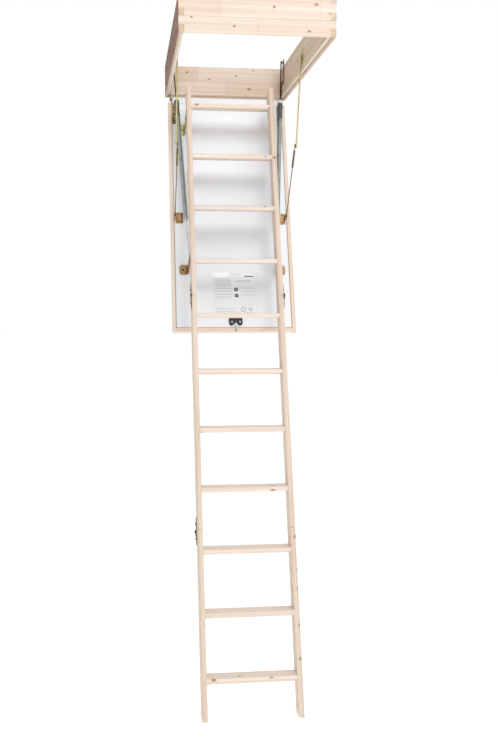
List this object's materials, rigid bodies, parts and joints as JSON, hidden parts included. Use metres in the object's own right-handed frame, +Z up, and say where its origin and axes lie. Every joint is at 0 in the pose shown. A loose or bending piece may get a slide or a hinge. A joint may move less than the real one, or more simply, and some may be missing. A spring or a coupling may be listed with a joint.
{
  "type": "folding attic ladder",
  "caption": "Wooden attic ladder that folds in three sections onto the insulated hatch lid of a ceiling frame, with tension springs and folding stays.",
  "frame": {"origin": "on the floor, under the centre of the ceiling frame", "axes": "+Z up, +Y towards the hinge end of the ceiling frame, +X to the right of a person who faces the treads"},
  "size_m": [0.6, 1.24, 2.87],
  "materials": {
    "ladder_spruce": "planed, clear",
    "frame_spruce": "planed, knotty",
    "lid_edging": "planed",
    "white_panel": "satin white hardboard face",
    "foam": "closed-cell board",
    "seal_foam": "matte strip",
    "label_film": "printed sheet",
    "black_plastic": "moulded",
    "spring_steel": "drawn wire",
    "bright_steel": "zinc plated",
    "bronze_zinc": "dark zinc plated",
    "dark_screws": "blackened",
    "yellow_zinc": "yellow zinc plated"
  },
  "bodies": {
    "frame": {"side_board_left": "frame_spruce", "side_board_right": "frame_spruce", "hinge_end_board": "frame_spruce", "latch_end_board": "frame_spruce", "seal_strip": "seal_foam", "strike_plate": "yellow_zinc", "hinge_brackets": "yellow_zinc", "spring_anchors": "yellow_zinc", "stay_pivot_plates": "yellow_zinc", "frame_screws": "dark_screws"},
    "lid": {"lid_stile_left": "lid_edging", "lid_stile_right": "lid_edging", "lid_top_rail": "lid_edging", "lid_bottom_rail": "lid_edging", "lid_inner_panel": "white_panel", "lid_insulation": "foam", "lid_outer_panel": "white_panel", "instruction_label": "label_film", "hinge_straps": "yellow_zinc", "strap_screws": "dark_screws", "stay_brackets": "yellow_zinc", "upper_ladder_brackets": "yellow_zinc", "lower_ladder_brackets": "yellow_zinc", "latch_case": "black_plastic", "section_1_rail_left": "ladder_spruce", "section_1_rail_right": "ladder_spruce", "section_1_lower_leaves": "bronze_zinc", "tread_01": "ladder_spruce", "tread_02": "ladder_spruce", "tread_03": "ladder_spruce", "tread_04": "ladder_spruce"},
    "latch_bolt": {"latch_bolt": "bright_steel"},
    "section_2": {"section_2_rail_left": "ladder_spruce", "section_2_rail_right": "ladder_spruce", "section_2_upper_leaves": "bronze_zinc", "section_2_lower_leaves": "bronze_zinc", "tread_05": "ladder_spruce", "tread_06": "ladder_spruce", "tread_07": "ladder_spruce", "tread_08": "ladder_spruce"},
    "section_3": {"section_3_rail_left": "ladder_spruce", "section_3_rail_right": "ladder_spruce", "section_3_upper_leaves": "bronze_zinc", "tread_09": "ladder_spruce", "tread_10": "ladder_spruce", "tread_11": "ladder_spruce"},
    "spring_left": {"spring_coil_left": "spring_steel", "spring_wire_left": "bright_steel"},
    "spring_rod_left": {"spring_rod_left": "bright_steel"},
    "stay_upper_left": {"stay_upper_left": "yellow_zinc"},
    "stay_lower_left": {"stay_lower_left": "yellow_zinc"},
    "spring_right": {"spring_coil_right": "spring_steel", "spring_wire_right": "bright_steel"},
    "spring_rod_right": {"spring_rod_right": "bright_steel"},
    "stay_upper_right": {"stay_upper_right": "yellow_zinc"},
    "stay_lower_right": {"stay_lower_right": "yellow_zinc"}
  },
  "joints": [
    {"name": "lid_hinge", "type": "hinge", "parent": "frame", "child": "lid", "pos_m": [0, 0.59695, 2.6787], "axis": [-1, 0, 0], "range_deg": [0, 61]},
    {"name": "section_2_fold", "type": "hinge", "parent": "lid", "child": "section_2", "pos_m": [0, 0.05185, 1.71576], "axis": [-1, 0, 0], "range_deg": [0, 180]},
    {"name": "section_3_fold", "type": "hinge", "parent": "section_2", "child": "section_3", "pos_m": [0, -0.21444, 0.70173], "axis": [1, 0, 0], "range_deg": [0, 180]},
    {"name": "latch_slide", "type": "slide", "parent": "lid", "child": "latch_bolt", "axis": [0, 0.3289, 0.9444], "range_m": [0, 0.008], "stiffness_N_per_m": 400, "springref_m": -0.006},
    {"name": "spring_pivot_left", "type": "hinge", "parent": "lid", "child": "spring_left", "pos_m": [-0.2035, 0.24124, 1.85522], "axis": [1, 0, 0], "range_deg": [0, 4.72]},
    {"name": "spring_slide_left", "type": "slide", "parent": "spring_left", "child": "spring_rod_left", "axis": [-0.059, 0.2694, 0.9612], "range_m": [-0.18066, 0]},
    {"name": "stay_foot_pivot_left", "type": "hinge", "parent": "lid", "child": "stay_lower_left", "pos_m": [-0.2662, 0.34092, 2.09582], "axis": [1, 0, 0], "range_deg": [0, 96.6]},
    {"name": "stay_elbow_left", "type": "hinge", "parent": "stay_lower_left", "child": "stay_upper_left", "pos_m": [-0.27, 0.107, 2.3915], "axis": [1, 0, 0], "range_deg": [-136.64, 0]},
    {"name": "spring_pivot_right", "type": "hinge", "parent": "lid", "child": "spring_right", "pos_m": [0.2035, 0.24124, 1.85522], "axis": [1, 0, 0], "range_deg": [0, 4.72]},
    {"name": "spring_slide_right", "type": "slide", "parent": "spring_right", "child": "spring_rod_right", "axis": [0.059, 0.2694, 0.9612], "range_m": [-0.18066, 0]},
    {"name": "stay_foot_pivot_right", "type": "hinge", "parent": "lid", "child": "stay_lower_right", "pos_m": [0.2662, 0.34092, 2.09582], "axis": [1, 0, 0], "range_deg": [0, 96.6]},
    {"name": "stay_elbow_right", "type": "hinge", "parent": "stay_lower_right", "child": "stay_upper_right", "pos_m": [0.27, 0.107, 2.3915], "axis": [1, 0, 0], "range_deg": [-136.64, 0]}
  ],
  "couplings": [
    {"joint": "section_3_fold", "follows": "section_2_fold", "ratio": 1},
    {"joint": "spring_pivot_left", "follows": "lid_hinge", "ratio": 0.077081},
    {"joint": "spring_slide_left", "follows": "lid_hinge", "m_per_rad": -0.16968},
    {"joint": "stay_foot_pivot_left", "follows": "lid_hinge", "ratio": 1.5833},
    {"joint": "stay_elbow_left", "follows": "lid_hinge", "ratio": -2.2396},
    {"joint": "spring_pivot_right", "follows": "lid_hinge", "ratio": 0.077081},
    {"joint": "spring_slide_right", "follows": "lid_hinge", "m_per_rad": -0.16968},
    {"joint": "stay_foot_pivot_right", "follows": "lid_hinge", "ratio": 1.5833},
    {"joint": "stay_elbow_right", "follows": "lid_hinge", "ratio": -2.2396}
  ]
}
